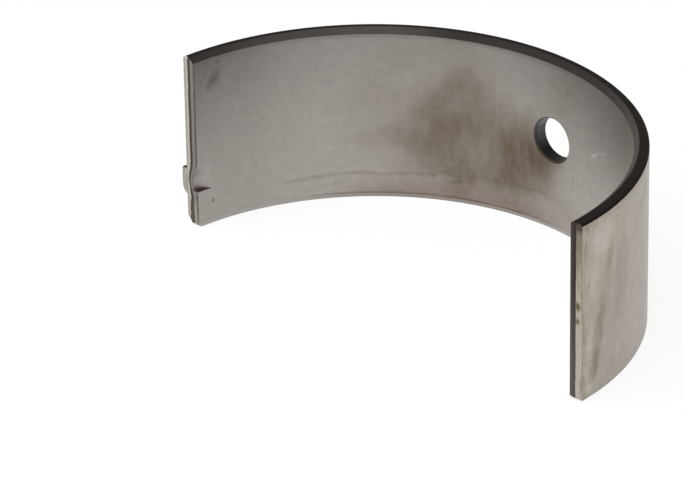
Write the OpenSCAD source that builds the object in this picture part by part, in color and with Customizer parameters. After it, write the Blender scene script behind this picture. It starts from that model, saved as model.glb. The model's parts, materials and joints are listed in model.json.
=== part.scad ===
// Half shell of a plain engine bearing: one steel strip with a bonded lining, pressed to a half round.
// Before it is fitted the shell is sprung open, so it spans a little less than half of a larger circle.
// The bearing axis is Z, the crown of the arc points to +Y, and the origin is on the axis at mid length.

/* [Shell] */
// Bore of the housing that a pair of fitted shells lines
housing_bore = 56.5; // [46:0.5:70]
// Length of the shell along the bearing axis
shell_length = 20.2; // [16:0.1:30]
// Thickness of the wall, steel and lining together
wall = 1.6; // [1.4:0.05:2.4]
// Angle that the sprung shell spans
free_arc = 175; // [170:0.5:178]

/* [Edges] */
// Width across the wall of the fillet-side chamfer, where it is widest
fillet_chamfer_width = 0.85; // [0.5:0.05:1.1]
// Shift of the chamfer's own axis from the bearing axis, which narrows it away from its widest place
fillet_chamfer_shift = 0.35; // [0:0.05:0.5]
// Turn of the chamfer's widest place from the crown, towards the end with the tang
fillet_chamfer_turn = 35; // [-60:1:60]
// Slope of the fillet-side chamfer, measured from the side face
fillet_chamfer_slope = 33; // [20:1:45]
// Width across the wall of the plain-side inner chamfer
plain_chamfer_width = 0.15; // [0.05:0.05:0.4]
// Height along the axis of the plain-side inner chamfer
plain_chamfer_height = 0.5; // [0.2:0.05:1]
// Break on the two edges of the steel back
back_edge_break = 0.2; // [0.1:0.05:0.4]
// Break on the inner edge of each parting face
parting_edge_break = 0.15; // [0.05:0.05:0.4]
// Cut across both corners of the plain end
corner_cut = 0.35; // [0.1:0.05:0.8]
// Cut across the fillet-side corner of the tang end
fillet_corner_cut = 0.1; // [0.05:0.05:0.4]
// Length along the strip of the cut across the plain-side corner of the tang end
tang_corner_run = 0.65; // [0.2:0.05:1.2]
// Height along the axis of that cut
tang_corner_height = 0.45; // [0.2:0.05:1.2]
// Depth of the clip that takes the steel off that corner, square to its edge
clip_depth = 0.7; // [0.2:0.05:1.2]
// Height along the axis of that clip
clip_height = 1.35; // [0.5:0.05:2]

/* [Oil hole] */
// Diameter of the oil hole
oil_hole_d = 5; // [3:0.1:8]
// Turn of the oil hole from the crown, towards the end with the tang
oil_hole_turn = -0.9; // [-30:0.1:30]
// Shift of the oil hole from mid length, towards the fillet side
oil_hole_shift = 0.6; // [-2:0.1:2]
// Break on the inner mouth of the oil hole
oil_hole_break = 0.15; // [0.05:0.05:0.4]

/* [Locating tang] */
// Width of the tang along the bearing axis
tang_width = 3; // [2.4:0.1:4]
// Distance from the plain side face to the tang
tang_offset = 3.75; // [2:0.05:6]
// Height of the tang above the steel back, at the parting face
tang_height = 0.75; // [0.5:0.05:1.4]
// Length of the tang from the parting face to where it runs out
tang_length = 3; // [2:0.1:5]
// Length of the full-height stretch of the tang, next to the parting face
tang_land = 0.4; // [0.2:0.1:1.5]
// Run of the rounded flank of the tang, along the bearing axis
tang_flank = 1.15; // [0.5:0.05:1.8]

/* [Pocket behind the tang] */
// Depth of the punched pocket, at the parting face
pocket_depth = 0.7; // [0.3:0.05:1]
// Length of the pocket from the parting face to where it runs out
pocket_length = 2.3; // [1.5:0.1:4]
// Length of the full-depth stretch of the pocket, next to the parting face
pocket_land = 0.7; // [0.2:0.1:1.4]
// Distance from the rounded flank's foot to the sheared wall of the pocket
pocket_step = 0.6; // [0:0.1:1]
// Width of the flat floor of the pocket, along the bearing axis
pocket_floor = 1.2; // [0.5:0.1:2]
// Run of the drawn side of the pocket, past its floor
pocket_draw = 2.3; // [1:0.1:3]

/* [Hidden] */
$fn = 128;

// Overlap of every cutter past the face that it cuts
past = 1;

// The strip keeps its length when it springs open, so the radius grows as the angle shrinks
back_r = housing_bore / 2 * 180 / free_arc;
bore_r = back_r - wall;
side_z = shell_length / 2;
end_turn = free_arc / 2;

// The fillet-side chamfer is a cone whose axis is shifted to its widest place
cone_r = bore_r + fillet_chamfer_width - fillet_chamfer_shift;
cone_depth = cone_r * tan(fillet_chamfer_slope);

// Width of that chamfer at the tang end's parting face
tang_off_widest = end_turn - fillet_chamfer_turn;
tang_end_reach = sqrt(pow(cone_r, 2) - pow(fillet_chamfer_shift * sin(tang_off_widest), 2));
tang_end_chamfer = fillet_chamfer_shift * cos(tang_off_widest) + tang_end_reach - bore_r;

// The tang grows from half way through the wall
tang_root_r = back_r - wall / 2;
tang_low_z = tang_offset - side_z;
tang_high_z = tang_low_z + tang_width;
pocket_low_z = tang_low_z + pocket_step;
pocket_floor_z = pocket_low_z + pocket_floor;
pocket_high_z = pocket_floor_z + pocket_draw;

// Moves to a parting face: local X is the radius outwards, local -Y leads into the strip
module at_tang_end() {
    rotate([0, 0, 90 + end_turn]) children();
}

module at_plain_end() {
    mirror([1, 0, 0]) at_tang_end() children();
}

// Section of the wall, with the edges that run all the way round
module wall_section() {
    polygon([
        [bore_r, side_z],
        [back_r - back_edge_break, side_z],
        [back_r, side_z - back_edge_break],
        [back_r, back_edge_break - side_z],
        [back_r - back_edge_break, -side_z],
        [bore_r + plain_chamfer_width, -side_z],
        [bore_r, plain_chamfer_height - side_z]
    ]);
}

module bent_strip() {
    rotate([0, 0, 90 - end_turn]) rotate_extrude(angle = free_arc) wall_section();
}

module fillet_chamfer() {
    slope = tan(fillet_chamfer_slope);
    rotate([0, 0, fillet_chamfer_turn])
        translate([0, fillet_chamfer_shift, side_z - cone_depth])
            cylinder(h = cone_depth + past, r1 = 0, r2 = cone_r + past / slope);
}

// Prism along local Z that takes an edge off a parting face
module edge_break(length) {
    c = parting_edge_break;
    linear_extrude(length) polygon([[-past, -c - past], [c + past, past], [-past, past]]);
}

// Takes the inner edge off a parting face
module parting_break() {
    translate([bore_r, 0, -side_z - past]) edge_break(shell_length + 2 * past);
}

// Carries that break on along the edge of the fillet-side chamfer, at the tang end
module chamfer_break() {
    reach = wall + past;
    translate([bore_r + tang_end_chamfer, 0, side_z])
        rotate([0, 90 - fillet_chamfer_slope, 0])
            translate([0, 0, -reach]) edge_break(2 * reach);
}

// Prism that takes the corner off the strip, between a parting face and the fillet side face
module corner_prism(run, height) {
    reach = wall + past;
    slope = height / run;
    translate([back_r - reach, 0, 0])
        rotate([90, 0, 90])
            linear_extrude(2 * reach)
                polygon([
                    [-run - past / slope, side_z + past],
                    [past, side_z + past],
                    [past, side_z - height - past * slope]
                ]);
}

// The same prism, turned half way from the parting face to the steel back
module corner_clip() {
    translate([back_r, 0, 0]) rotate([0, 0, -45]) translate([-back_r, 0, 0])
        corner_prism(clip_depth, clip_height);
}

module end_cuts(fillet_cut, plain_run, plain_height) {
    parting_break();
    corner_prism(fillet_cut, fillet_cut);
    mirror([0, 0, 1]) corner_prism(plain_run, plain_height);
}

module oil_hole() {
    mouth_r = oil_hole_d / 2 + oil_hole_break;
    rotate([0, 0, oil_hole_turn]) translate([0, 0, oil_hole_shift]) rotate([-90, 0, 0]) {
        cylinder(h = back_r + past, d = oil_hole_d);
        translate([0, 0, bore_r - past])
            cylinder(h = past + oil_hole_break, r1 = mouth_r + past, r2 = oil_hole_d / 2);
    }
}

// Bounds a pressed shape by its ramp along the strip and its section along the axis
module pressed(length, overlap) {
    intersection() {
        translate([0, 0, -side_z]) linear_extrude(shell_length) children(0);
        translate([0, overlap, 0]) rotate([90, 0, 0]) linear_extrude(length + overlap) children(1);
    }
}

// Lug on the steel back: square on its upper flank, rounded on its lower one
module tang() {
    run_out_r = sqrt(pow(back_r, 2) - pow(tang_length, 2));
    top_r = back_r + tang_height;
    pressed(tang_length, 0) {
        polygon([
            [tang_root_r, 0],
            [top_r, 0],
            [top_r, -tang_land],
            [run_out_r, -tang_length],
            [tang_root_r, -tang_length]
        ]);
        polygon([
            [tang_root_r, tang_low_z],
            for (a = [0 : 15 : 90]) [back_r + tang_height * sin(a), tang_low_z + tang_flank * (1 - cos(a))],
            [top_r, tang_high_z],
            [tang_root_r, tang_high_z]
        ]);
    }
}

// Pocket that the punch leaves in the lining: sheared at its lower wall, drawn out at its upper one
module pocket() {
    run_out_r = sqrt(pow(bore_r, 2) - pow(pocket_length, 2));
    floor_r = bore_r + pocket_depth;
    pressed(pocket_length, past) {
        polygon([
            [bore_r - past, past],
            [floor_r, past],
            [floor_r, -pocket_land],
            [run_out_r, -pocket_length],
            [bore_r - past, -pocket_length]
        ]);
        polygon([
            [bore_r - past, pocket_low_z],
            [floor_r, pocket_low_z],
            [floor_r, pocket_floor_z],
            [bore_r, pocket_high_z],
            [bore_r - past, pocket_high_z]
        ]);
    }
}

module bearing_shell() {
    color("#8f8b84")
    difference() {
        union() {
            bent_strip();
            at_tang_end() tang();
        }
        fillet_chamfer();
        at_tang_end() {
            end_cuts(fillet_corner_cut, tang_corner_run, tang_corner_height);
            mirror([0, 0, 1]) corner_clip();
            chamfer_break();
            pocket();
        }
        at_plain_end() end_cuts(corner_cut, corner_cut, corner_cut);
        oil_hole();
    }
}

bearing_shell();
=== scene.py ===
"""Engine bearing shell: the detailed strip, its finishes, and the small studio that shows it."""

import json
import math

import bmesh
import bpy
from bpy.props import FloatProperty, FloatVectorProperty, PointerProperty
from mathutils import Matrix, Vector


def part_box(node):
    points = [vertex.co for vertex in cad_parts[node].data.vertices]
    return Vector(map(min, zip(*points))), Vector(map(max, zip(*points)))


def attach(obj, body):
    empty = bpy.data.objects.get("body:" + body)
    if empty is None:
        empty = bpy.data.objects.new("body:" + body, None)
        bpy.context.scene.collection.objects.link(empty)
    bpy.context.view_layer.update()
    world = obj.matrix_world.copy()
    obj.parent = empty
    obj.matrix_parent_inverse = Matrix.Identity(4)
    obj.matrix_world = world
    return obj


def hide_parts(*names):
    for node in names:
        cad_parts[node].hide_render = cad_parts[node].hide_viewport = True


bl_info = {
    "name": "Engine bearing shell",
    "version": (1, 0, 0),
    "blender": (4, 5, 0),
    "location": "View3D > Sidebar > Bearing",
    "description": "Makes a half-round bearing shell with its finishes, and a small studio round it",
    "category": "Object",
}

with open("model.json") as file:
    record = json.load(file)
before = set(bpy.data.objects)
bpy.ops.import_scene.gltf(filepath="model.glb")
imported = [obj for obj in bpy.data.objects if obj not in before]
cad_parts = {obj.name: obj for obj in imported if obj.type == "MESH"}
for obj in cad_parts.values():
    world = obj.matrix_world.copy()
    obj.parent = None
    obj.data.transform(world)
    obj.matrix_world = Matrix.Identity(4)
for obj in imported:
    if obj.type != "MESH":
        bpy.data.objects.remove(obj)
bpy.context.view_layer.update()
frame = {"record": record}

MM = 0.001
DEG = math.pi / 180

MOUNTS = {mount["name"]: mount for mount in frame["record"]["mounts"]}
BORE_R = MOUNTS["journal_bore"]["dims"]["r_mm"] * MM
BACK_R = MOUNTS["housing_seat"]["pos_m"][1]
HOLE_R = MOUNTS["oil_hole"]["dims"]["r_mm"] * MM
HOLE_Z = MOUNTS["oil_hole"]["pos_m"][2]
HOLE_TURN = math.atan2(MOUNTS["oil_hole"]["axis"][1], MOUNTS["oil_hole"]["axis"][0])
SIDE_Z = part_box("bearing_shell")[1][2]


def linear(text):
    """Linear colour, with alpha, of an sRGB hex value."""
    channels = [int(text[i : i + 2], 16) / 255 for i in (1, 3, 5)]
    return [c / 12.92 if c <= 0.04045 else ((c + 0.055) / 1.055) ** 2.4 for c in channels] + [1.0]


def length_prop(name, description, millimetres):
    return FloatProperty(
        name=name,
        description=description,
        default=millimetres * MM,
        precision=5,
        subtype="DISTANCE",
        unit="LENGTH",
    )


def angle_prop(name, description, degrees):
    return FloatProperty(
        name=name, description=description, default=degrees * DEG, subtype="ANGLE", unit="ROTATION"
    )


def colour_prop(name, description, text):
    return FloatVectorProperty(
        name=name, description=description, default=linear(text), size=4, min=0, max=1, subtype="COLOR"
    )


class ShellSizes(bpy.types.PropertyGroup):
    """Sizes of the strip and of what is cut and pressed into it"""

    free_arc: angle_prop("Free arc", "Angle that the sprung strip spans", 175)
    chamfer_width: length_prop("Chamfer width", "Fillet-side chamfer across the wall, at its widest", 0.85)
    chamfer_shift: length_prop("Chamfer shift", "Shift of the fillet-side chamfer's own axis", 0.35)
    chamfer_turn: angle_prop("Chamfer turn", "Its widest place, from the crown towards the tang", 35)
    chamfer_slope: angle_prop("Chamfer slope", "Slope of the fillet-side chamfer", 33)
    plain_chamfer_width: length_prop("Plain chamfer width", "Across the wall, on the plain side", 0.15)
    plain_chamfer_height: length_prop("Plain chamfer height", "Along the axis, on the plain side", 0.5)
    back_break: length_prop("Back edge break", "Break on both edges of the steel back", 0.2)
    edge_round: length_prop("Edge rounding", "Small round that every long edge ends in", 0.04)
    parting_break: length_prop("Parting break", "Break on the inner edge of a parting face", 0.15)
    parting_round: length_prop("Parting round", "Round on the outer edge of a parting face", 0.06)
    corner_cut: length_prop("Corner cut", "Cut across both corners of the plain end", 0.35)
    fillet_corner_cut: length_prop("Fillet corner cut", "Fillet-side corner of the tang end", 0.1)
    tang_corner_run: length_prop("Tang corner run", "Tang end's plain-side corner, along the strip", 0.65)
    tang_corner_height: length_prop("Tang corner height", "The same cut, along the axis", 0.45)
    clip_depth: length_prop("Clip depth", "Clip that takes the steel off that corner", 0.7)
    clip_height: length_prop("Clip height", "The same clip, along the axis", 1.35)
    hole_break: length_prop("Oil hole break", "Break on the inner mouth of the oil hole", 0.15)
    hole_burr: length_prop("Oil hole burr", "How far punching drew the back of the oil hole in", 0.08)
    tang_low: length_prop("Tang foot", "Where the rounded flank of the tang starts, along the axis", -6.35)
    tang_high: length_prop("Tang shoulder", "Where the square flank of the tang is", -3.35)
    tang_flank: length_prop("Tang flank", "Run of the rounded flank", 1.15)
    tang_height: length_prop("Tang height", "Height over the steel back", 0.75)
    tang_land: length_prop("Tang land", "Full height next to the parting face", 0.4)
    tang_length: length_prop("Tang length", "From the parting face to the run-out", 3.0)
    pocket_low: length_prop("Pocket wall", "Where the sheared wall of the pocket is", -5.75)
    pocket_floor: length_prop("Pocket floor", "Where the floor of the pocket ends", -4.55)
    pocket_high: length_prop("Pocket draw", "Where the drawn side of the pocket ends", -2.25)
    pocket_depth: length_prop("Pocket depth", "Depth at the parting face", 0.7)
    pocket_land: length_prop("Pocket land", "Full depth next to the parting face", 0.7)
    pocket_length: length_prop("Pocket length", "From the parting face to the run-out", 2.3)


class ShellColours(bpy.types.PropertyGroup):
    """Colours of the finishes"""

    # The lining shade colour is the lining darkened by painted shade, as the lining takes it towards the
    # chamfer and both ends
    lining: colour_prop("Lining", "Clean lining, near its plain edge", "#a59f9a")
    lining_shade: colour_prop("Lining shade", "Lining towards its chamfered edge", "#7b7672")
    smoke: colour_prop("Smoke", "Oil smoke on the lining", "#625441")
    wash: colour_prop("Wash", "Thin brown oil along the plain edge", "#6b5248")
    stain_line: colour_prop("Tide line", "Dried edge of an oil stain", "#54473e")
    # Light colour of rubs; on the lining beside the hole it also carries painted highlights
    rub_and_highlight: colour_prop("Rub", "Light rub on the lining", "#c4c0bc")
    back: colour_prop("Steel back", "Brushed steel of the back", "#aaa296")
    back_stain: colour_prop("Back stain", "Brown stain on the steel back", "#74695a")
    back_cool: colour_prop("Cool steel back", "Lilac-grey part of the steel back", "#a49c93")
    tarnish: colour_prop("Tarnish", "Blue-grey tarnish of the steel back", "#84837f")
    film: colour_prop("Film", "Greenish film along the edges of the steel", "#86867a")
    # Side face colour: painted near-black, a painted dark reflection
    side: colour_prop("Side face", "Dark ground side faces", "#1b1715")
    # Chamfer colour: painted dark grey, a painted dark reflection; the second colour is for its lighter
    # stretches
    chamfer: colour_prop("Chamfer", "Dark turned chamfer on the fillet side", "#302a29")
    chamfer_lighter: colour_prop("Worn chamfer", "Lighter stretches of that chamfer", "#4c4743")
    bond: colour_prop("Bond", "Dark layer between steel and lining", "#40352f")
    end_lining: colour_prop("End lining", "Lining at the tang end's parting face", "#7f7976")
    end_steel: colour_prop("End steel", "Steel at the tang end's parting face", "#b7b2a8")
    plain_end_steel: colour_prop("Plain end steel", "Steel at the plain end", "#aca597")
    plain_end_lining: colour_prop("Plain end lining", "Lining at the plain end", "#453c39")
    plain_end_bond: colour_prop("Plain end bond", "Bond layer at the plain end", "#332a29")
    olive: colour_prop("Olive rust", "Olive rust on the plain end", "#5d5124")
    # Pocket wall colour: painted shade of the pocket's slit
    sheared: colour_prop("Sheared lining", "Wall of the pocket behind the tang", "#3d322d")
    # Oil hole colours: painted light on its upper wall, and painted shade on its lower wall
    hole_lit: colour_prop("Hole, lit side", "Upper wall of the oil hole", "#7b7c81")
    hole_dark: colour_prop("Hole, dark side", "Lower wall and mouth of the oil hole", "#191614")
    floor: colour_prop("Floor", "Studio floor", "#f4f4f4")


def place(turn, radius, z):
    """Point at a turn about the bearing axis, a radius and a height."""
    return Vector((radius * math.cos(turn), radius * math.sin(turn), z))


def turn_of(co):
    return math.atan2(co.y, co.x)


def radius_of(co):
    return math.hypot(co.x, co.y)


def ramp(value, low, high):
    """0 at low, 1 at high, eased at both."""
    t = min(max((value - low) / (high - low), 0.0), 1.0)
    return t * t * (3 - 2 * t)


# How near a point counts as on a face, and as on a cutting plane
TINY = 0.01 * MM
ON_PLANE = 1e-7


def everything(bm):
    return bm.verts[:] + bm.edges[:] + bm.faces[:]


# Half width of a sheared step, depths at which the wall is divided, and lip of the plain end's inner edge
SHEAR = 0.03 * MM
LAYERS = [depth * MM for depth in (0.3, 0.5, 0.7, 0.9, 1.1, 1.3)]
LIP = 0.03 * MM

# Rows along the axis: even ones over most of the length, and close ones past both sides of the tang
EVEN_ROWS = [row * 0.5 * MM for row in range(-18, 19)]
CLOSE_ROWS = [-6.6 * MM + row * 0.125 * MM for row in range(37)]

# Steps along the strip: long ones, and close ones next to the tang
LONG_STEPS = 167
TANG_STEPS = 30
TANG_STRETCH = 7.5 * DEG


def chamfer_drop(s):
    """Height of the fillet-side chamfer along the axis, where it is widest."""
    return s.chamfer_width * math.tan(s.chamfer_slope)


def section_rows(s):
    """Heights at which the section is divided, with a pair of rows for each sheared wall."""
    rows = EVEN_ROWS + CLOSE_ROWS
    walls = (s.pocket_low, s.tang_low, s.tang_high)
    rows = [z for z in rows if all(abs(z - wall) > 2 * SHEAR for wall in walls)]
    rows += [wall + side * SHEAR for wall in walls for side in (-1, 1)]
    return sorted(rows)


def wall_section(bm, s):
    """Flat section of the wall at the plain end, with the fillet-side chamfer at its widest."""
    drop = chamfer_drop(s)
    outline = [
        (BORE_R + s.chamfer_width, SIDE_Z),
        (BACK_R - s.back_break, SIDE_Z),
        (BACK_R, SIDE_Z - s.back_break),
        (BACK_R, s.back_break - SIDE_Z),
        (BACK_R - s.back_break, -SIDE_Z),
        (BORE_R + s.plain_chamfer_width, -SIDE_Z),
        (BORE_R, s.plain_chamfer_height - SIDE_Z),
        (BORE_R, SIDE_Z - drop),
    ]
    start = (math.pi - s.free_arc) / 2
    corners = [bm.verts.new(place(start, r, z)) for r, z in outline]
    bm.faces.new(corners)
    # Every corner is rounded but the one between the plain chamfer and the lining
    bmesh.ops.bevel(
        bm,
        geom=corners[:6] + corners[7:],
        offset=s.edge_round,
        offset_type="OFFSET",
        segments=2,
        profile=0.5,
        affect="VERTICES",
        material=-1,
    )
    cuts = [((0, 0, z), (0, 0, 1)) for z in section_rows(s)]
    for depth in LAYERS:
        cuts.append((place(start, BORE_R + depth, 0), place(start, 1, 0)))
    for at, facing in cuts:
        bmesh.ops.bisect_plane(bm, geom=everything(bm), dist=ON_PLANE, plane_co=at, plane_no=facing)


def bend_strip(bm, s):
    """Spins the section to the half round, in closer steps where the tang is pressed."""
    end_step, lip = s.parting_break / BORE_R, LIP / BORE_R
    long_stretch = s.free_arc - TANG_STRETCH - 2 * end_step
    section = everything(bm)
    stretches = (
        (lip, 1),
        (end_step - lip, 1),
        (long_stretch, LONG_STEPS),
        (TANG_STRETCH, TANG_STEPS),
        (end_step, 1),
    )
    for angle, steps in stretches:
        section = bmesh.ops.spin(
            bm, geom=section, cent=(0, 0, 0), axis=(0, 0, 1), dvec=(0, 0, 0), angle=angle, steps=steps
        )["geom_last"]
    bmesh.ops.recalc_face_normals(bm, faces=bm.faces[:])


# Finishes, by their slots on the mesh
LINING, BACK, SIDE, CHAMFER, PARTING, PLAIN_CHAMFER, HOLE, POCKET = range(8)


def mark_finishes(bm, s):
    """Gives each face of the plain strip its finish. Cuts and bevels then take it over."""
    drop = chamfer_drop(s)
    square_on = 0.9
    for f in bm.faces:
        middle = f.calc_center_median()
        turn, r, z = turn_of(middle), radius_of(middle), middle.z
        across = f.normal.dot(place(turn + math.pi / 2, 1, 0))
        if abs(across) > square_on:
            f.material_index = PARTING
        elif r < BORE_R + TINY and z > s.plain_chamfer_height - SIDE_Z:
            f.material_index = LINING
        elif r > BACK_R - TINY:
            f.material_index = BACK
        elif r < BORE_R + s.plain_chamfer_width and z < s.plain_chamfer_height - SIDE_Z:
            f.material_index = PLAIN_CHAMFER
        elif r < BORE_R + s.chamfer_width and SIDE_Z - drop - s.edge_round < z < SIDE_Z - TINY:
            f.material_index = CHAMFER
        else:
            f.material_index = SIDE


def run_out_chamfer(bm, s):
    """Narrows the fillet-side chamfer away from its widest place, as a cone on a shifted axis cuts it."""
    drop = chamfer_drop(s)
    cone = BORE_R + s.chamfer_width - s.chamfer_shift
    rim, flat_end, settle = BORE_R + s.chamfer_width, BACK_R - s.back_break, drop + 1 * MM
    near = 0.001 * MM
    for v in bm.verts:
        turn, r, down = turn_of(v.co), radius_of(v.co), SIDE_Z - v.co.z
        on_wall, on_chamfer = r < BORE_R + near, down < drop + s.edge_round
        if r > flat_end or down > settle or not (on_wall or on_chamfer):
            continue
        off = turn - math.pi / 2 - s.chamfer_turn
        reach = math.sqrt(cone**2 - (s.chamfer_shift * math.sin(off)) ** 2)
        width = s.chamfer_shift * math.cos(off) + reach - BORE_R
        share = width / s.chamfer_width
        if r <= rim:
            moved_r = BORE_R + (r - BORE_R) * share
            if down <= drop:
                moved_down = down * share
            else:
                moved_down = settle - (settle - down) * (settle - drop * share) / (settle - drop)
        else:
            moved_r = flat_end - (flat_end - r) * (flat_end - BORE_R - width) / (flat_end - rim)
            moved_down = down
        v.co = place(turn, moved_r, SIDE_Z - moved_down)


def end_frames(s):
    """Turn of each parting face, with the sign that leads out of the strip: plain end, tang end."""
    half = s.free_arc / 2
    return (math.pi / 2 - half, -1), (math.pi / 2 + half, 1)


def parts_near(bm, at, reach):
    """Vertices, edges and faces that lie within a reach of a place."""
    verts = {v for v in bm.verts if (v.co - at).length < reach}
    edges = [e for e in bm.edges if verts.issuperset(e.verts)]
    faces = [f for f in bm.faces if verts.issuperset(f.verts)]
    return [v for v in bm.verts if v in verts] + edges + faces


def cut_corners(bm, s):
    """Cuts across the corners of the strip and closes each cut. A cut is sized at the bore or the back."""
    plain, tang = end_frames(s)
    # One corner of the steel is clipped as well. The filed corner of the lining runs out within the wall.
    square, clipped, filed = 90 * DEG, 45 * DEG, 116 * DEG
    reach = 5 * MM
    cuts = (
        (plain, 1, s.corner_cut, s.corner_cut, filed, BORE_R, CHAMFER),
        (plain, -1, s.corner_cut, s.corner_cut, square, BACK_R, PARTING),
        (tang, 1, s.fillet_corner_cut, s.fillet_corner_cut, square, BACK_R, PARTING),
        (tang, -1, s.tang_corner_run, s.tang_corner_height, square, BACK_R, PARTING),
        (tang, -1, s.clip_depth, s.clip_height, clipped, BACK_R, PARTING),
    )
    for (turn, out), side, run, height, facing, radius, finish in cuts:
        at = place(turn, radius, side * (SIDE_Z - height))
        made = bmesh.ops.bisect_plane(
            bm,
            geom=parts_near(bm, at, reach),
            dist=ON_PLANE,
            plane_co=at,
            plane_no=place(turn + out * facing, MM / run, side * MM / height),
            clear_outer=True,
        )
        rim = [e for e in made["geom_cut"] if isinstance(e, bmesh.types.BMEdge)]
        for f in bmesh.ops.edgeloop_fill(bm, edges=rim)["faces"]:
            f.material_index = finish
    bmesh.ops.recalc_face_normals(bm, faces=bm.faces[:])


def parting_faces(bm, s):
    """Faces of each parting face."""
    found = []
    square_on = 0.99
    for turn, out in end_frames(s):
        away = place(turn + out * math.pi / 2, 1, 0)
        origin = place(turn, BORE_R, 0)
        for f in bm.faces:
            off = (f.calc_center_median() - origin).dot(away)
            if f.normal.dot(away) > square_on and abs(off) < TINY:
                found.append(f)
    return found


def break_parting_edges(bm, s):
    """Breaks the inner edge of each parting face by moving the strip's end rings outwards."""
    (plain, _), (tang, _) = end_frames(s)
    # The plain end's break is steep, because nearly all of it lies within the lip
    lip_break, same_turn = 0.7 * LIP, 1e-5
    breaks = (
        (plain, s.parting_break),
        (plain + LIP / BORE_R, lip_break),
        (tang, s.parting_break),
    )
    for turn, offset in breaks:
        ring = [v for v in bm.verts if abs(turn_of(v.co) - turn) < same_turn]
        for v in ring:
            v.co = place(turn, max(radius_of(v.co), BORE_R + offset), v.co.z)
        for f in {f for v in ring for f in v.link_faces}:
            if f.material_index in (LINING, PLAIN_CHAMFER):
                f.material_index = PARTING


def round_parting_edges(bm, s):
    """Rounds the outer edge of each parting face."""
    faces = set(parting_faces(bm, s))
    rim = [e for e in bm.edges if sum(f in faces for f in e.link_faces) == 1]
    outer = [e for e in rim if min(radius_of(v.co) for v in e.verts) > BACK_R - TINY]
    made = bmesh.ops.bevel(
        bm,
        geom=outer,
        offset=s.parting_round,
        offset_type="OFFSET",
        segments=2,
        profile=0.5,
        affect="EDGES",
        material=-1,
        clamp_overlap=True,
    )
    for f in made["faces"]:
        f.material_index = PARTING


# How sharply the lug fades out towards the bore, and how far a sheared wall spreads through the strip
LUG_POWER = 6
SHEAR_SPREAD = 1.5


def press_tang(bm, s):
    """Keeps each point's depth in the wall, and presses the tang out, which leaves its pocket behind."""
    depth = bm.verts.layers.float.new("depth")
    end = end_frames(s)[1][0]
    wall = BACK_R - BORE_R
    for v in bm.verts:
        turn, r, z = turn_of(v.co), radius_of(v.co), v.co.z
        v[depth] = (r - BORE_R) / MM
        along = (end - turn) * BACK_R
        if along > s.tang_length or not s.tang_low - wall < z < s.pocket_high:
            continue
        lug = 0.0
        if s.tang_low < z < s.tang_high:
            short = max(s.tang_low + s.tang_flank - z, 0) / s.tang_flank
            lug = math.sqrt(1 - short**2) * (1 - ramp(along, s.tang_land, s.tang_length))
        share = min(max((r - BORE_R) / wall, 0), 1)
        soft = SHEAR / 2 + share * SHEAR_SPREAD * wall
        sunk = ramp(z, s.pocket_low - soft, s.pocket_low + soft) - ramp(z, s.pocket_floor, s.pocket_high)
        sunk *= 1 - ramp(along, s.pocket_land, s.pocket_length)
        push = share**LUG_POWER * s.tang_height * lug + (1 - share) * s.pocket_depth * sunk
        v.co = place(turn, r + push, z)


def hole_ring(edges, radius, height):
    """Moves the ends of these edges to a circle about the oil hole, at a radius of the wall."""
    turned = Matrix.Rotation(HOLE_TURN - math.pi / 2, 3, "Z")
    for v in {v for e in edges for v in e.verts}:
        local = turned.transposed() @ v.co
        about = math.atan2(local.z - HOLE_Z, local.x)
        x = radius * math.cos(about)
        v.co = turned @ Vector((x, math.sqrt(height**2 - x**2), HOLE_Z + radius * math.sin(about)))


def pierce_oil_hole(bm, s):
    """Opens the oil hole through both faces of the wall and walls it, with a break on its inner mouth."""
    margin, skin = HOLE_R + 0.9 * MM, 0.05 * MM
    burred = HOLE_R - s.hole_burr
    rims = []
    # Rings about the hole, from the face inwards: radius, radius of the wall there, finish up to it
    steps = {
        BORE_R: (
            (HOLE_R + 0.45 * MM, BORE_R, LINING),
            (HOLE_R + s.hole_break, BORE_R, LINING),
            (HOLE_R, BORE_R + s.hole_break, HOLE),
        ),
        BACK_R: (
            (HOLE_R + 0.4 * MM, BACK_R, BACK),
            (burred + s.edge_round, BACK_R, BACK),
            (burred, BACK_R - s.edge_round, HOLE),
        ),
    }
    for surface, rings in steps.items():
        patch = []
        for f in bm.faces:
            middle = f.calc_center_median()
            near = abs(radius_of(middle) - surface) < skin
            across = (turn_of(middle) - HOLE_TURN) * surface
            if near and abs(across) < margin and abs(middle.z - HOLE_Z) < margin:
                patch.append(f)
        edges = {e for f in patch for e in f.edges}
        rim = [e for e in edges if sum(f in patch for f in e.link_faces) == 1]
        bmesh.ops.delete(bm, geom=patch, context="FACES")
        for radius, height, finish in rings:
            made = bmesh.ops.extrude_edge_only(bm, edges=rim)["geom"]
            rim = [e for e in made if isinstance(e, bmesh.types.BMEdge) and e.is_boundary]
            hole_ring(rim, radius, height)
            for f in made:
                if isinstance(f, bmesh.types.BMFace):
                    f.material_index = finish
        rims += rim
    for f in bmesh.ops.bridge_loops(bm, edges=rims)["faces"]:
        f.material_index = HOLE
    bmesh.ops.recalc_face_normals(bm, faces=bm.faces[:])


def dress_faces(bm):
    """Finishes the sheared walls, smooths up to real edges, and lays the strip out flat for patterns."""
    bm.normal_update()
    # Faces of the lining and the back that face up take the pocket's and the side's dark finishes, with
    # their painted shade and painted dark reflection
    sheared = {LINING: POCKET, BACK: SIDE}
    facing_up, sharp = 0.6, 28 * DEG
    for f in bm.faces:
        f.smooth = True
        if f.normal.z > facing_up:
            f.material_index = sheared.get(f.material_index, f.material_index)
    for e in bm.edges:
        if len(e.link_faces) == 2:
            one, other = e.link_faces
            e.smooth = one.material_index == other.material_index and e.calc_face_angle() < sharp
    strip = bm.loops.layers.uv.new("strip")
    for f in bm.faces:
        for loop in f.loops:
            co = loop.vert.co
            loop[strip].uv = ((turn_of(co) - math.pi / 2) * radius_of(co) / MM, co.z / MM)


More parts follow.
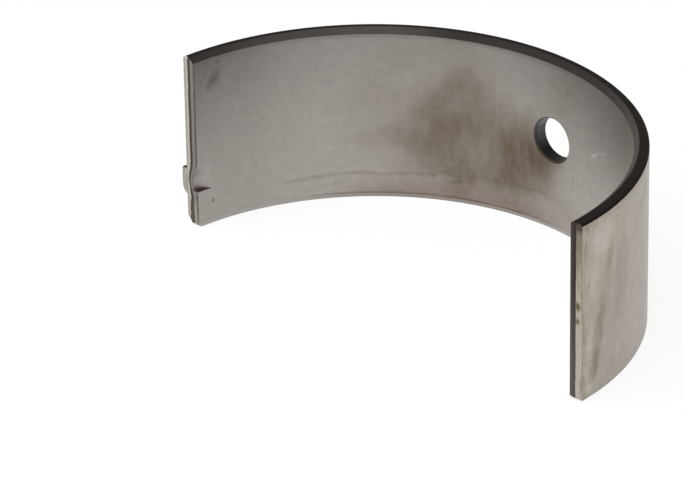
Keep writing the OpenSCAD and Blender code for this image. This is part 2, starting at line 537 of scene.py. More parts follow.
# Settings of a Map Range eased at both ends, of a Mix of two colours, and of a colour times a level
EASED = {"interpolation_type": "SMOOTHSTEP"}
COLOURED = {"data_type": "RGBA"}
TINTED = {"data_type": "RGBA", "blend_type": "MULTIPLY"}


def node(tree, kind, inputs=None, out=0, **settings):
    """Adds a node with its settings, links or sets its inputs, and gives one of its outputs."""
    made = tree.nodes.new("ShaderNode" + kind)
    for name, value in settings.items():
        setattr(made, name, value)
    for key, value in (inputs or {}).items():
        if isinstance(value, bpy.types.NodeSocket):
            tree.links.new(value, made.inputs[key])
        else:
            made.inputs[key].default_value = value
    return made.outputs[out] if made.outputs else None


def bare_material(name):
    """New material with nothing in its tree."""
    made = bpy.data.materials.new(name)
    made.use_nodes = True
    made.node_tree.nodes.clear()
    return made, made.node_tree


def strip_axes(tree):
    """The strip laid out flat, in millimetres from the crown and mid length, and its two axes."""
    flat = node(tree, "UVMap", uv_map="strip")
    along, across, _ = node(tree, "SeparateXYZ", {0: flat}).node.outputs
    return flat, along, across


def mark(tree, flat, at, reach, turn=0.0, soft=0.9):
    """Mask of a mark on the flat strip: place and half widths in millimetres, turn, and softness."""
    laid = {0: flat, "Location": (*at, 0), "Rotation": (0, 0, turn * DEG), "Scale": (*reach, 1)}
    local = node(tree, "Mapping", laid, vector_type="TEXTURE")
    far = node(tree, "VectorMath", {0: local}, "Value", operation="LENGTH")
    return node(tree, "MapRange", {0: far, 1: 1.0, 2: 1.0 - soft}, **EASED)


def marks(tree, flat, places, soft=0.9):
    """Mask of several marks laid over each other. Each also has a strength."""
    clear = 1.0
    for at, reach, turn, strength in places:
        thick = mark(tree, flat, at, reach, turn, soft)
        left = node(tree, "Math", {0: thick, 1: -strength, 2: 1.0}, operation="MULTIPLY_ADD")
        clear = node(tree, "Math", {0: clear, 1: left}, operation="MULTIPLY")
    return node(tree, "Math", {0: 1.0, 1: clear}, operation="SUBTRACT")


def clouds(tree, flat, size, low, high, detail=4.0, turn=0.0):
    """Cloudy values between two levels, of a size along the arc and the axis in millimetres."""
    turned = node(tree, "Mapping", {0: flat, "Rotation": (0, 0, turn * DEG)})
    scaled = node(tree, "Mapping", {0: turned, "Scale": (1 / size[0], 1 / size[1], 1)})
    cloud = node(tree, "TexNoise", {0: scaled, "Scale": 1.0, "Detail": detail, "Roughness": 0.6})
    thin, thick = 0.28, 0.72
    return node(tree, "MapRange", {0: cloud, 1: thin, 2: thick, 3: low, 4: high})


def ragged(tree, flat, size, shift):
    """The flat strip, pushed about by clouds of a size in millimetres, so that marks end raggedly."""
    cloud = node(tree, "TexNoise", {0: flat, "Scale": 1 / size, "Detail": 4.0, "Roughness": 0.6}, 1)
    push = node(tree, "VectorMath", {0: cloud, 1: (0.5, 0.5, 0.5)}, operation="SUBTRACT")
    widest = (2 * shift, 2 * shift, 0)
    return node(tree, "VectorMath", {0: push, 1: widest, 2: flat}, operation="MULTIPLY_ADD")


# Oil smoke on the lining: place and half widths in millimetres, turn in degrees, strength
SMOKE = (
    ((8.3, -3.4), (13.9, 7.8), -4, 0.49),
    ((4.1, -2.6), (3.9, 8.3), 28, 0.41),
    ((11.4, 1.9), (6.7, 5.5), 7, 0.32),
    ((14.8, -2.6), (4.7, 6.6), -12, 0.26),
    ((19.3, 2.9), (12.3, 5.5), -60, 0.1),
    ((10.2, 6.1), (4.5, 8.8), -36, 0.15),
    ((-0.5, -0.9), (2.3, 5.1), 28, 0.45),
    ((1.4, -3.2), (2.7, 4.8), -31, 0.31),
    ((4.1, -9.5), (3.1, 8.4), 26, 0.15),
    ((7.4, -6.5), (13.4, 1.5), -1, 0.15),
    ((-2.9, 8.0), (8.9, 3.3), -60, 0.09),
    ((13.0, 3.1), (2.0, 6.3), 41, 0.2),
    ((11.4, -7.5), (2.4, 4.5), 16, 0.22),
    ((-1.5, -8.6), (3.2, 5.5), 60, 0.13),
    ((5.4, -0.5), (2.5, 7.4), 3, 0.13),
    ((16.2, 1.1), (10.6, 3.1), 13, 0.07),
    ((14.1, -2.3), (5.8, 2.2), -37, 0.14),
    ((20.2, -2.9), (4.5, 2.1), -4, 0.14),
    ((19.4, -6.4), (6.2, 2.2), 16, 0.08),
    ((18.3, -2.6), (3.4, 2.3), 60, 0.11),
    ((9.6, 3.9), (1.3, 3.1), 17, 0.1),
    ((6.4, -0.9), (1.1, 1.8), 20, 0.14),
)

# Dark touches on the lining: a smear by the tang end, a smudge by the tide line, painted shade as a halo
# below the oil hole, specks and scratches
TOUCHES = (
    ((39.2, 7.2), (1.7, 1.05), -58, 0.5),
    ((39.9, 6.3), (1.0, 0.5), -62, 0.3),
    ((40.5, 7.9), (0.9, 0.18), -42, 0.4),
    ((38.6, 8.95), (0.6, 0.26), -30, 0.4),
    ((40.9, 7.2), (0.5, 0.16), -50, 0.3),
    ((39.75, -7.35), (0.28, 0.28), 0, 0.75),
    ((33.4, -2.6), (0.2, 0.16), 0, 0.3),
    # Painted shade: a dark halo below the lower rim of the oil hole
    ((1.4, -1.7), (3.0, 2.3), -30, 0.3),
    ((11.8, -7.6), (1.5, 0.5), -12, 0.4),
    ((25.3, -8.25), (0.75, 0.16), -62, 0.35),
    ((-3.75, -3.15), (0.14, 0.8), 12, 0.3),
    ((-6.9, -3.0), (0.12, 0.9), -8, 0.3),
    ((-2.7, 6.7), (0.18, 1.1), 4, 0.22),
)

# Light rubs on the lining, beside the hole: scratches, with the highlight they catch painted in
RUBS_AND_HIGHLIGHTS = (
    ((-7.7, 1.6), (1.7, 0.32), -33, 0.6),
    ((-9.5, 2.5), (1.3, 0.26), -20, 0.35),
)


def lining_alloy(tree, c):
    # Plated bearing alloy, fine bored: a soft satin metal with little grain, which keeps every oil stain.
    flat, along, across = strip_axes(tree)
    # Painted shade: lighter towards the plain side, and darker towards the chamfer, most of all near both
    # ends
    up = node(tree, "MapRange", {0: across, 1: -9.0, 2: 10.0})
    up = node(tree, "Math", {0: up, 1: 2.2}, operation="POWER")
    by_tang = node(tree, "MapRange", {0: along, 1: 27.0, 2: 42.0, 4: 0.85}, **EASED)
    by_plain = node(tree, "MapRange", {0: along, 1: 14.0, 2: -6.0, 4: 0.72}, **EASED)
    ends = node(tree, "Math", {0: by_tang, 1: by_plain}, operation="ADD")
    painted_shade = node(tree, "Math", {0: ends, 1: 0.45, 2: 0.55}, operation="MULTIPLY_ADD")
    painted_shade = node(tree, "Math", {0: painted_shade, 1: up}, operation="MULTIPLY")
    # Painted shade in a narrow band just under the chamfer, over the middle of the strip
    under = node(tree, "MapRange", {0: across, 1: 8.9, 2: 9.6}, **EASED)
    middle = mark(tree, flat, (13.0, 9.5), (22.0, 60.0), 0, 0.5)
    under = node(tree, "Math", {0: under, 1: middle}, operation="MULTIPLY")
    painted_shade = node(tree, "Math", {0: under, 1: 0.4, 2: painted_shade}, operation="MULTIPLY_ADD", use_clamp=True)
    colour = node(tree, "Mix", {0: painted_shade, 6: c.lining, 7: c.lining_shade}, 2, **COLOURED)
    # Smoke with ragged rims, in upright wisps
    torn = ragged(tree, flat, 2.2, 0.6)
    smoky = marks(tree, torn, SMOKE, 0.75)
    wisps = clouds(tree, torn, (0.9, 3.0), 0.92, 1.3, detail=6.0)
    smoky = node(tree, "Math", {0: smoky, 1: wisps}, operation="MULTIPLY", use_clamp=True)
    colour = node(tree, "Mix", {0: smoky, 6: colour, 7: c.smoke}, 2, **COLOURED)
    # Thin brown oil that ran to the plain edge
    wash = node(tree, "MapRange", {0: across, 1: -7.0, 2: -9.4, 4: 0.5})
    ran = mark(tree, ragged(tree, flat, 3.0, 0.8), (11.5, -9.0), (16.0, 7.0), 0, 0.6)
    wash = node(tree, "Math", {0: wash, 1: ran}, operation="MULTIPLY")
    colour = node(tree, "Mix", {0: wash, 6: colour, 7: c.wash}, 2, **COLOURED)
    # Tide line of dried oil, a third of a millimetre wide, which climbs under the smoke and has one peak
    low = node(tree, "MapRange", {0: along, 1: 25.0, 2: 30.0, 3: 7.16, 4: 7.43})
    climb = node(tree, "MapRange", {0: along, 1: 16.0, 2: 0.0, 4: -1.15})
    peak = mark(tree, flat, (13.1, -6.5), (1.5, 40.0), 0, 1.0)
    wander = clouds(tree, flat, (3.6, 60.0), -0.28, 0.28, detail=5.0)
    height = node(tree, "Math", {0: across, 1: low}, operation="ADD")
    height = node(tree, "Math", {0: height, 1: climb}, operation="ADD")
    height = node(tree, "Math", {0: peak, 1: -0.5, 2: height}, operation="MULTIPLY_ADD")
    height = node(tree, "Math", {0: height, 1: wander}, operation="ADD")
    height = node(tree, "Math", {0: height}, operation="ABSOLUTE")
    tide = node(tree, "MapRange", {0: height, 1: 0.42, 2: 0.0}, **EASED)
    broken = clouds(tree, flat, (2.4, 1.5), 0.02, 0.4)
    tide = node(tree, "Math", {0: tide, 1: broken}, operation="MULTIPLY")
    reach = mark(tree, flat, (15.5, -7.2), (19.0, 6.0), 0, 0.35)
    tide = node(tree, "Math", {0: tide, 1: reach}, operation="MULTIPLY")
    colour = node(tree, "Mix", {0: tide, 6: colour, 7: c.stain_line}, 2, **COLOURED)
    # A dark brown line in the corner over the plain chamfer, broken in places
    corner = node(tree, "MapRange", {0: across, 1: -9.3, 2: -9.56}, **EASED)
    corner_reach = mark(tree, flat, (14.0, -9.5), (18.0, 8.0), 0, 0.5)
    gaps = clouds(tree, flat, (3.0, 30.0), 0.3, 0.8)
    corner_reach = node(tree, "Math", {0: corner_reach, 1: gaps}, operation="MULTIPLY")
    corner = node(tree, "Math", {0: corner, 1: corner_reach}, operation="MULTIPLY", use_clamp=True)
    colour = node(tree, "Mix", {0: corner, 6: colour, 7: c.stain_line}, 2, **COLOURED)
    fretted = ragged(tree, flat, 0.9, 0.22)
    touched = marks(tree, fretted, TOUCHES)
    colour = node(tree, "Mix", {0: touched, 6: colour, 7: c.stain_line}, 2, **COLOURED)
    # Light scratches beside the hole, with their painted highlights
    rubbed = marks(tree, ragged(tree, flat, 1.5, 0.12), RUBS_AND_HIGHLIGHTS)
    colour = node(tree, "Mix", {0: rubbed, 6: colour, 7: c.rub_and_highlight}, 2, **COLOURED)
    # Satin mottle of the plating, faint slanted wiping marks, and boring marks. The real boring marks are
    # some hundredths of a millimetre apart, so they are drawn ten times as coarse to show.
    mottle = clouds(tree, flat, (1.2, 0.9), 0.925, 1.068, detail=8.0)
    wiped = clouds(tree, flat, (0.4, 6.0), -0.045, 0.045, detail=4.0, turn=22.0)
    wiping = mark(tree, flat, (30.0, 0.0), (8.0, 13.0), 0, 0.8)
    clean = node(tree, "MapRange", {0: along, 1: 34.5, 2: 31.5, 3: 0.968, 4: 1.015}, **EASED)
    wiped = node(tree, "Math", {0: wiped, 1: wiping, 2: clean}, operation="MULTIPLY_ADD")
    bored = clouds(tree, flat, (9.0, 0.16), 0.98, 1.02, detail=3.0)
    level = node(tree, "Math", {0: mottle, 1: wiped}, operation="MULTIPLY")
    level = node(tree, "Math", {0: level, 1: bored}, operation="MULTIPLY")
    colour = node(tree, "Mix", {0: 1.0, 6: colour, 7: level}, 2, **TINTED)
    rough = node(tree, "MapRange", {0: smoky, 2: 0.9, 3: 0.44, 4: 0.6})
    bump = node(tree, "Bump", {"Strength": 0.25, "Distance": 0.004 * MM, "Height": bored})
    return {"Base Color": colour, "Metallic": 0.9, "Roughness": rough, "Normal": bump}


# Stains on the steel back, near the plain end first: place, half widths, turn, strength
BACK_STAINS = (
    ((-40.8, -0.6), (1.6, 9.0), -13.6, 0.3),
    ((-42.15, -6.6), (0.95, 2.6), -8, 0.62),
    ((-41.4, -2.6), (1.1, 3.8), -12, 0.3),
    ((-39.4, 5.4), (1.2, 2.8), -13, 0.2),
    ((-43.6, 9.3), (0.6, 0.9), 20, 0.35),
    ((-43.0, -7.4), (0.3, 1.6), 0, 0.3),
    ((-44.0, -7.8), (0.22, 1.7), 0, 0.4),
    ((-43.9, 6.4), (0.25, 2.2), 0, 0.35),
    ((-37.0, 1.0), (2.2, 6.5), -8, 0.2),
    ((-30.0, 7.0), (4.0, 1.2), 15, 0.2),
    ((-22.0, -3.0), (2.4, 7.0), -8, 0.4),
    ((-7.0, 3.0), (5.0, 5.0), 0, 0.3),
    ((4.0, -2.0), (3.0, 8.0), 6, 0.35),
    ((18.0, 2.0), (4.0, 9.0), -5, 0.4),
    ((31.0, -4.0), (3.0, 5.0), 8, 0.35),
    ((40.5, -1.4), (2.0, 1.6), 0, 0.45),
)

# Where the steel back is rubbed lighter
BACK_RUBS = (
    ((-41.0, 7.4), (2.6, 2.6), -15, 0.42),
    ((-42.3, 3.4), (1.1, 3.0), -10, 0.3),
    ((-43.1, -3.6), (0.6, 2.2), -8, 0.3),
    ((-43.2, -8.8), (0.9, 0.7), 0, 0.35),
)


def brushed_back(tree, c):
    # Cold-rolled strip steel, brushed along the axis: upright streaks, brown stains, blue-grey tarnish.
    flat, along, across = strip_axes(tree)
    # Beige by the plain end, lilac-grey past the long stain there
    cool = node(tree, "Math", {0: across, 1: -0.24, 2: along}, operation="MULTIPLY_ADD")
    cool = node(tree, "MapRange", {0: cool, 1: -41.2, 2: -38.6}, **EASED)
    base = node(tree, "Mix", {0: cool, 6: c.back, 7: c.back_cool}, 2, **COLOURED)
    away = node(tree, "MapRange", {0: along, 1: -36.0, 2: -24.0, 4: 0.55}, **EASED)
    tint = clouds(tree, flat, (3.2, 26.0), 0.0, 1.0, detail=3.0)
    tint = node(tree, "Math", {0: tint, 1: away}, operation="MULTIPLY")
    colour = node(tree, "Mix", {0: tint, 6: base, 7: c.tarnish}, 2, **COLOURED)
    torn = ragged(tree, flat, 2.0, 0.5)
    rubbed = marks(tree, torn, BACK_RUBS, 0.8)
    colour = node(tree, "Mix", {0: rubbed, 6: colour, 7: c.rub_and_highlight}, 2, **COLOURED)
    stained = marks(tree, torn, BACK_STAINS, 0.8)
    patchy = clouds(tree, flat, (0.9, 3.0), 0.5, 1.25)
    stained = node(tree, "Math", {0: stained, 1: patchy}, operation="MULTIPLY", use_clamp=True)
    colour = node(tree, "Mix", {0: stained, 6: colour, 7: c.back_stain}, 2, **COLOURED)
    # Brown runs close to the plain end, a fifth of a millimetre wide
    close = node(tree, "MapRange", {0: along, 1: -43.3, 2: -44.0, 4: 0.75}, **EASED)
    runs = clouds(tree, flat, (0.2, 5.0), -0.7, 0.9)
    runs = node(tree, "Math", {0: runs, 1: close}, operation="MULTIPLY", use_clamp=True)
    colour = node(tree, "Mix", {0: runs, 6: colour, 7: c.back_stain}, 2, **COLOURED)
    # Streaks a third of a millimetre apart, faint next to the plain end
    streak = clouds(tree, flat, (0.32, 16.0), -1.0, 1.0, detail=4.0)
    deep = node(tree, "MapRange", {0: along, 1: -40.0, 2: -24.0, 3: 0.045, 4: 0.11})
    streak = node(tree, "Math", {0: streak, 1: deep, 2: 1.0}, operation="MULTIPLY_ADD")
    mottle = clouds(tree, flat, (1.2, 1.8), 0.89, 1.09, detail=9.0)
    level = node(tree, "Math", {0: streak, 1: mottle}, operation="MULTIPLY")
    colour = node(tree, "Mix", {0: 1.0, 6: colour, 7: level}, 2, **TINTED)
    # A broken dark line where the end was rolled over, and a greenish film along both side edges
    rolled = mark(tree, flat, (-44.36, 0.0), (0.15, 12.0), 0, 0.6)
    gaps = clouds(tree, flat, (4.0, 1.3), -0.5, 0.85)
    rolled = node(tree, "Math", {0: rolled, 1: gaps}, operation="MULTIPLY", use_clamp=True)
    colour = node(tree, "Mix", {0: rolled, 6: colour, 7: c.bond}, 2, **COLOURED)
    height = node(tree, "Math", {0: across}, operation="ABSOLUTE")
    edge = node(tree, "MapRange", {0: height, 1: 9.0, 2: 9.9, 4: 0.85}, **EASED)
    patches = clouds(tree, flat, (0.7, 0.7), -0.3, 1.0)
    film = node(tree, "Math", {0: edge, 1: patches}, operation="MULTIPLY", use_clamp=True)
    colour = node(tree, "Mix", {0: film, 6: colour, 7: c.film}, 2, **COLOURED)
    # Brown specks a third of a millimetre across, in groups along the side edges and the plain end
    by_side = node(tree, "MapRange", {0: height, 1: 7.0, 2: 9.9, 4: 0.65})
    by_end = node(tree, "MapRange", {0: along, 1: -41.5, 2: -44.2, 4: 0.45})
    border = node(tree, "Math", {0: by_side, 1: by_end}, operation="MAXIMUM")
    groups = clouds(tree, flat, (1.3, 2.2), -0.4, 1.3)
    border = node(tree, "Math", {0: border, 1: groups}, operation="MULTIPLY", use_clamp=True)
    specks = clouds(tree, flat, (0.3, 0.55), -1.1, 1.4, detail=5.0)
    specks = node(tree, "Math", {0: specks, 1: border}, operation="MULTIPLY", use_clamp=True)
    colour = node(tree, "Mix", {0: specks, 6: colour, 7: c.back_stain}, 2, **COLOURED)
    rough = node(tree, "MapRange", {0: stained, 2: 0.8, 3: 0.4, 4: 0.55})
    bump = node(tree, "Bump", {"Strength": 0.3, "Distance": 0.02 * MM, "Height": streak})
    return {"Base Color": colour, "Metallic": 0.9, "Roughness": rough, "Normal": bump}


def dark_side(tree, c):
    # Side face ground flat: painted nearly black, a painted dark reflection of the surroundings that the
    # ground face mirrors, with hardly any gloss.
    flat = node(tree, "UVMap", uv_map="strip")
    patchy = clouds(tree, flat, (2.0, 2.0), 0.75, 1.25)
    colour = node(tree, "Mix", {0: 1.0, 6: c.side, 7: patchy}, 2, **TINTED)
    return {"Base Color": colour, "Roughness": 0.5, "Specular IOR Level": 0.015}


# Stretches of the fillet-side chamfer that are lighter: place, half widths, turn, strength
LIGHTER_STRETCHES = (
    ((20.5, 9.7), (9.0, 60.0), 0, 0.75),
    ((28.0, 9.7), (15.0, 60.0), 0, 0.6),
    ((-24.0, 9.7), (18.0, 60.0), 0, 0.6),
)


def dark_chamfer(tree, c):
    # Chamfer turned through the lining into the steel: painted dark grey, a painted dark reflection of the
    # surroundings that the turned face mirrors, lighter in two stretches.
    flat = node(tree, "UVMap", uv_map="strip")
    lighter_part = marks(tree, flat, LIGHTER_STRETCHES)
    colour = node(tree, "Mix", {0: lighter_part, 6: c.chamfer, 7: c.chamfer_lighter}, 2, **COLOURED)
    turned = clouds(tree, flat, (3.0, 0.12), 0.9, 1.1)
    colour = node(tree, "Mix", {0: 1.0, 6: colour, 7: turned}, 2, **TINTED)
    return {"Base Color": colour, "Roughness": 0.5, "Specular IOR Level": 0.04}


# Olive rust on the steel of the plain end: depth in the wall and height, half widths, turn, strength
OLIVE_SPOTS = (
    ((1.02, 0.75), (0.46, 0.85), 0, 1.0),
    ((1.3, 0.7), (0.4, 0.6), 0, 0.45),
    ((1.05, -0.95), (0.36, 0.55), 0, 0.95),
    ((1.0, 6.2), (0.22, 4.2), 0, 0.4),
    ((1.3, 6.8), (0.16, 3.2), 0, 0.4),
    ((1.5, 3.4), (0.14, 6.0), 0, 0.45),
    ((1.15, 3.0), (0.3, 1.4), 0, 0.3),
    ((1.5, -8.2), (0.25, 1.6), 0, 0.5),
)


def parting_layers(tree, c):
    # Sheared end of the strip: the steel, the dark bond and the lining show as bands across the wall.
    flat, along, across = strip_axes(tree)
    depth = node(tree, "Attribute", out="Fac", attribute_name="depth")
    plain_end = node(tree, "MapRange", {0: along, 1: 1.0, 2: -1.0})
    tang_end = node(tree, "Math", {0: 1.0, 1: plain_end}, operation="SUBTRACT")
    face = node(tree, "CombineXYZ", {0: depth, 1: across})
    wave = clouds(tree, flat, (80.0, 2.4), -0.05, 0.05)
    fine = clouds(tree, flat, (80.0, 0.5), -0.03, 0.03)
    layer = node(tree, "Math", {0: wave, 1: depth}, operation="ADD")
    layer = node(tree, "Math", {0: layer, 1: fine}, operation="ADD")
    # The bond lies nearer the bore at the plain end, and low down at the tang end it is twice as thick
    split = node(tree, "Math", {0: plain_end, 1: 0.17, 2: layer}, operation="MULTIPLY_ADD")
    low = node(tree, "MapRange", {0: across, 1: -6.4, 2: -7.6}, **EASED)
    low = node(tree, "Math", {0: low, 1: tang_end}, operation="MULTIPLY")
    start = node(tree, "Math", {0: low, 1: 0.06, 2: split}, operation="MULTIPLY_ADD")
    finish = node(tree, "Math", {0: low, 1: -0.18, 2: split}, operation="MULTIPLY_ADD")
    lining = node(tree, "Mix", {0: plain_end, 6: c.end_lining, 7: c.plain_end_lining}, 2, **COLOURED)
    paler = node(tree, "Math", {0: low, 1: 0.6}, operation="MULTIPLY")
    lining = node(tree, "Mix", {0: paler, 6: lining, 7: c.lining}, 2, **COLOURED)
    edge = node(tree, "MapRange", {0: layer, 1: 0.17, 2: 0.09, 4: 0.6}, **EASED)
    drawn_in = mark(tree, face, (0.0, -4.4), (60.0, 1.9), 0, 0.4)
    edge = node(tree, "Math", {0: edge, 1: drawn_in}, operation="SUBTRACT", use_clamp=True)
    lining = node(tree, "Mix", {0: edge, 6: lining, 7: c.bond}, 2, **COLOURED)
    bond = node(tree, "Mix", {0: plain_end, 6: c.bond, 7: c.plain_end_bond}, 2, **COLOURED)
    oily = node(tree, "Math", {0: low, 1: 0.3}, operation="MULTIPLY")
    bond = node(tree, "Mix", {0: oily, 6: bond, 7: c.back_stain}, 2, **COLOURED)
    # The plain end is paler low down, and browned at its top
    pale = node(tree, "MapRange", {0: across, 1: 3.0, 2: -6.0})
    pale = node(tree, "Math", {0: pale, 1: plain_end}, operation="MULTIPLY")
    paler = node(tree, "Math", {0: pale, 1: 0.3}, operation="MULTIPLY")
    lining = node(tree, "Mix", {0: paler, 6: lining, 7: c.lining_shade}, 2, **COLOURED)
    bond = node(tree, "Mix", {0: paler, 6: bond, 7: c.lining_shade}, 2, **COLOURED)
    bright = node(tree, "Math", {0: pale, 1: -0.5, 2: plain_end}, operation="MULTIPLY_ADD")
    steel = node(tree, "Mix", {0: bright, 6: c.end_steel, 7: c.plain_end_steel}, 2, **COLOURED)
    brown = node(tree, "MapRange", {0: across, 1: 3.6, 2: 8.6, 4: 0.75})
    brown = node(tree, "Math", {0: brown, 1: plain_end}, operation="MULTIPLY")
    steel = node(tree, "Mix", {0: brown, 6: steel, 7: c.back_stain}, 2, **COLOURED)
    top = node(tree, "MapRange", {0: across, 1: 8.8, 2: 9.55, 4: 0.85}, **EASED)
    top = node(tree, "Math", {0: top, 1: plain_end}, operation="MULTIPLY")
    steel = node(tree, "Mix", {0: top, 6: steel, 7: c.bond}, 2, **COLOURED)
    # At the tang end the steel is greenish and darker at its outer edge and over the tang, and its clipped
    # corner is dark with oil
    rolled = node(tree, "MapRange", {0: layer, 1: 1.22, 2: 1.4, 4: 0.5}, **EASED)
    lug = mark(tree, face, (1.6, -4.85), (0.6, 1.75), 0, 0.35)
    lug = node(tree, "Math", {0: lug, 1: 0.55}, operation="MULTIPLY")
    rolled = node(tree, "Math", {0: rolled, 1: lug}, operation="MAXIMUM")
    rolled = node(tree, "Math", {0: rolled, 1: tang_end}, operation="MULTIPLY")
    steel = node(tree, "Mix", {0: rolled, 6: steel, 7: c.film}, 2, **COLOURED)
    clipped = node(tree, "MapRange", {0: across, 1: -8.6, 2: -9.1, 4: 0.85}, **EASED)
    clipped = node(tree, "Math", {0: clipped, 1: tang_end}, operation="MULTIPLY")
    steel = node(tree, "Mix", {0: clipped, 6: steel, 7: bond}, 2, **COLOURED)
    # At the plain end the steel has olive rust, in spots and runs
    olive = marks(tree, ragged(tree, face, 0.7, 0.12), OLIVE_SPOTS)
    olive = node(tree, "Math", {0: olive, 1: plain_end}, operation="MULTIPLY")
    steel = node(tree, "Mix", {0: olive, 6: steel, 7: c.olive}, 2, **COLOURED)
    drawn = clouds(tree, face, (0.16, 3.0), 0.85, 1.08)
    steel = node(tree, "Mix", {0: 1.0, 6: steel, 7: drawn}, 2, **TINTED)
    past_lining = node(tree, "MapRange", {0: start, 1: 0.52, 2: 0.62}, **EASED)
    past_bond = node(tree, "MapRange", {0: finish, 1: 0.9, 2: 1.02}, **EASED)
    colour = node(tree, "Mix", {0: past_lining, 6: lining, 7: bond}, 2, **COLOURED)
    colour = node(tree, "Mix", {0: past_bond, 6: colour, 7: steel}, 2, **COLOURED)
    return {"Base Color": colour, "Metallic": 0.8, "Roughness": 0.45}


def plain_chamfer(tree, c):
    # Chamfer turned on the plain side: clean neutral grey metal, browned a little under the smoke.
    flat = node(tree, "UVMap", uv_map="strip")
    brown = mark(tree, ragged(tree, flat, 3.0, 1.0), (14.0, -9.7), (20.0, 8.0), 0, 0.9)
    brown = node(tree, "Math", {0: brown, 1: 0.35}, operation="MULTIPLY")
    colour = node(tree, "Mix", {0: brown, 6: c.lining, 7: c.smoke}, 2, **COLOURED)
    turned = clouds(tree, flat, (1.5, 0.1), 0.94, 1.05)
    colour = node(tree, "Mix", {0: 1.0, 6: colour, 7: turned}, 2, **TINTED)
    return {"Base Color": colour, "Metallic": 0.9, "Roughness": 0.4}


def hole_wall(tree, c):
    # Punched hole: sheared metal, dark with oil at its mouth, with painted shade low down and a painted
    # lit, cold grey upper wall.
    flat, _, across = strip_axes(tree)
    depth = node(tree, "Attribute", out="Fac", attribute_name="depth")
    middle, reach = HOLE_Z / MM, HOLE_R / MM
    # Painted light on the upper wall and painted shade on the lower wall, with the painted light fading
    # out towards the mouth
    lit = node(tree, "MapRange", {0: across, 1: middle - 0.7 * reach, 2: middle + 0.6 * reach})
    inside = node(tree, "MapRange", {0: depth, 1: 0.12, 2: 0.3, 3: 0.45})
    lit = node(tree, "Math", {0: lit, 1: inside}, operation="MULTIPLY")
    colour = node(tree, "Mix", {0: lit, 6: c.hole_dark, 7: c.hole_lit}, 2, **COLOURED)
    mouth = node(tree, "MapRange", {0: depth, 1: 0.1, 2: 0.02, 4: 0.3})
    colour = node(tree, "Mix", {0: mouth, 6: colour, 7: c.smoke}, 2, **COLOURED)
    sheared = clouds(tree, flat, (0.5, 0.5), 0.8, 1.2)
    colour = node(tree, "Mix", {0: 1.0, 6: colour, 7: sheared}, 2, **TINTED)
    return {"Base Color": colour, "Roughness": 0.45, "Specular IOR Level": 0.06}


def pocket_wall(tree, c):
    # Lining torn through at the pocket behind the tang: a matt dark brown, painted for the shade in the
    # pocket's narrow slit, with no gloss.
    flat = node(tree, "UVMap", uv_map="strip")
    torn = clouds(tree, flat, (0.3, 0.3), 0.8, 1.2)
    colour = node(tree, "Mix", {0: 1.0, 6: c.sheared, 7: torn}, 2, **TINTED)
    return {"Base Color": colour, "Roughness": 0.6, "Specular IOR Level": 0.05}


# Name and look of the material in each slot
MATERIALS = {
    LINING: ("plated bearing alloy", lining_alloy),
    BACK: ("brushed strip steel", brushed_back),
    SIDE: ("oil-dark ground steel", dark_side),
    CHAMFER: ("oil-dark turned chamfer", dark_chamfer),
    PARTING: ("sheared strip end", parting_layers),
    PLAIN_CHAMFER: ("turned lining edge", plain_chamfer),
    HOLE: ("punched hole wall", hole_wall),
    POCKET: ("sheared lining", pocket_wall),
}


def finish_material(name, look_of, c):
    """New material with the look that a function gives its shader."""
    made, tree = bare_material(name)
    shader = node(tree, "BsdfPrincipled", look_of(tree, c))
    node(tree, "OutputMaterial", {"Surface": shader})
    return made


class BEARING_OT_shell(bpy.types.Operator):
    """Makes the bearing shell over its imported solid"""

    bl_idname = "bearing.shell"
    bl_label = "Bearing shell"

    def execute(self, context):
        s, c = context.scene.bearing_sizes, context.scene.bearing_colours
        bm = bmesh.new()
        wall_section(bm, s)
        bend_strip(bm, s)
        mark_finishes(bm, s)
        run_out_chamfer(bm, s)
        break_parting_edges(bm, s)
        cut_corners(bm, s)
        round_parting_edges(bm, s)
        press_tang(bm, s)
        pierce_oil_hole(bm, s)
        dress_faces(bm)
        mesh = bpy.data.meshes.new("bearing_shell_strip")
        bm.to_mesh(mesh)
        bm.free()
        strip = bpy.data.objects.new("bearing_shell_strip", mesh)
        context.scene.collection.objects.link(strip)
        for slot in sorted(MATERIALS):
            mesh.materials.append(finish_material(*MATERIALS[slot], c))
        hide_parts("bearing_shell")
        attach(strip, "root")
        return {"FINISHED"}


def seen_rays(tree):
    """1 for a ray that shows a surface, straight or by gloss or glass, and 0 for one that lights it."""
    path = node(tree, "LightPath").node.outputs
    seen = 0.0
    for ray in ("Is Camera Ray", "Is Glossy Ray", "Is Transmission Ray"):
        seen = node(tree, "Math", {0: seen, 1: path[ray]}, operation="MAXIMUM")
    return seen


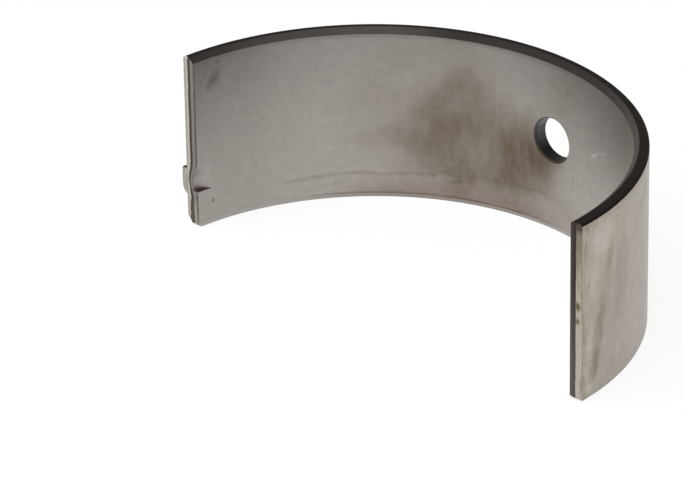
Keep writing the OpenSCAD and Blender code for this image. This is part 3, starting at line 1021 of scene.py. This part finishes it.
class BEARING_OT_stage(bpy.types.Operator):
    """Makes the floor, the lights and the camera"""

    bl_idname = "bearing.stage"
    bl_label = "Studio"

    def execute(self, context):
        scene = context.scene
        scene.view_settings.view_transform = "Standard"
        self.lay_floor(scene)
        self.hang_lights(scene)
        self.set_camera(scene)
        return {"FINISHED"}

    def lay_floor(self, scene):
        half_size, gap = 3.0, 0.02 * MM
        bm = bmesh.new()
        bmesh.ops.create_grid(bm, x_segments=8, y_segments=8, size=half_size)
        bmesh.ops.translate(bm, vec=(0, 0, -SIDE_Z - gap), verts=bm.verts[:])
        mesh = bpy.data.meshes.new("floor")
        bm.to_mesh(mesh)
        bm.free()
        floor = bpy.data.objects.new("floor", mesh)
        scene.collection.objects.link(floor)
        # Studio paper: matt white, and seen as plain white, with part of the shadow kept
        made, tree = bare_material("white studio paper")
        white_share = 0.9
        share = node(tree, "Math", {0: seen_rays(tree), 1: white_share}, operation="MULTIPLY")
        paper = node(tree, "BsdfDiffuse", {"Color": scene.bearing_colours.floor})
        glow = node(tree, "Emission", {"Color": (1, 1, 1, 1), "Strength": 1.0})
        node(tree, "OutputMaterial", {"Surface": node(tree, "MixShader", {0: share, 1: paper, 2: glow})})
        mesh.materials.append(made)

    def hang_lights(self, scene):
        world = bpy.data.worlds.new("studio")
        scene.world = world
        world.use_nodes = True
        tree = world.node_tree
        tree.nodes.clear()
        lit, seen = 0.6, 1.0
        level = node(tree, "MapRange", {0: seen_rays(tree), 3: lit, 4: seen})
        sky = node(tree, "Background", {"Color": (1, 1, 1, 1), "Strength": level})
        node(tree, "OutputWorld", {"Surface": sky})
        lamp = bpy.data.lights.new("softbox", "AREA")
        lamp.shape = "RECTANGLE"
        lamp.size, lamp.size_y = 0.5, 0.5
        lamp.energy = 4.0
        softbox = bpy.data.objects.new("softbox", lamp)
        softbox.location = (-0.1, -0.35, 0.6)
        softbox.rotation_euler = (-softbox.location).to_track_quat("-Z", "Y").to_euler()
        scene.collection.objects.link(softbox)

    def set_camera(self, scene):
        data = bpy.data.cameras.new("camera")
        data.lens = 270.0
        data.sensor_width = 36.0
        data.clip_start, data.clip_end = 0.05, 20.0
        camera = bpy.data.objects.new("camera", data)
        scene.collection.objects.link(camera)
        # Viewing place, solved from the shell's own outline
        azimuth, elevation, roll = 45.653 * DEG, 27.264 * DEG, -0.993 * DEG
        distance, aim = 560.45 * MM, Vector((-19.244, 14.848, -14.576)) * MM
        back = Vector(
            (
                math.sin(azimuth) * math.cos(elevation),
                -math.cos(azimuth) * math.cos(elevation),
                math.sin(elevation),
            )
        )
        facing = (-back).to_track_quat("-Z", "Y").to_matrix() @ Matrix.Rotation(roll, 3, "Z")
        camera.location = aim + back * distance
        camera.rotation_euler = facing.to_euler()
        scene.camera = camera


class BEARING_PT_panel(bpy.types.Panel):
    """Lists the shell's operators, sizes and colours"""

    bl_idname = "BEARING_PT_panel"
    bl_label = "Bearing shell"
    bl_space_type = "VIEW_3D"
    bl_region_type = "UI"
    bl_category = "Bearing"

    def draw(self, context):
        layout = self.layout
        layout.operator(BEARING_OT_shell.bl_idname)
        layout.operator(BEARING_OT_stage.bl_idname)
        for group in (context.scene.bearing_sizes, context.scene.bearing_colours):
            box = layout.box()
            for name in group.__annotations__:
                box.prop(group, name)


CLASSES = (ShellSizes, ShellColours, BEARING_OT_shell, BEARING_OT_stage, BEARING_PT_panel)


def register():
    for made in CLASSES:
        bpy.utils.register_class(made)
    bpy.types.Scene.bearing_sizes = PointerProperty(type=ShellSizes)
    bpy.types.Scene.bearing_colours = PointerProperty(type=ShellColours)


def unregister():
    del bpy.types.Scene.bearing_colours
    del bpy.types.Scene.bearing_sizes
    for made in reversed(CLASSES):
        bpy.utils.unregister_class(made)


def main():
    register()
    bpy.ops.bearing.shell()
    bpy.ops.bearing.stage()


if __name__ == "__main__":
    main()
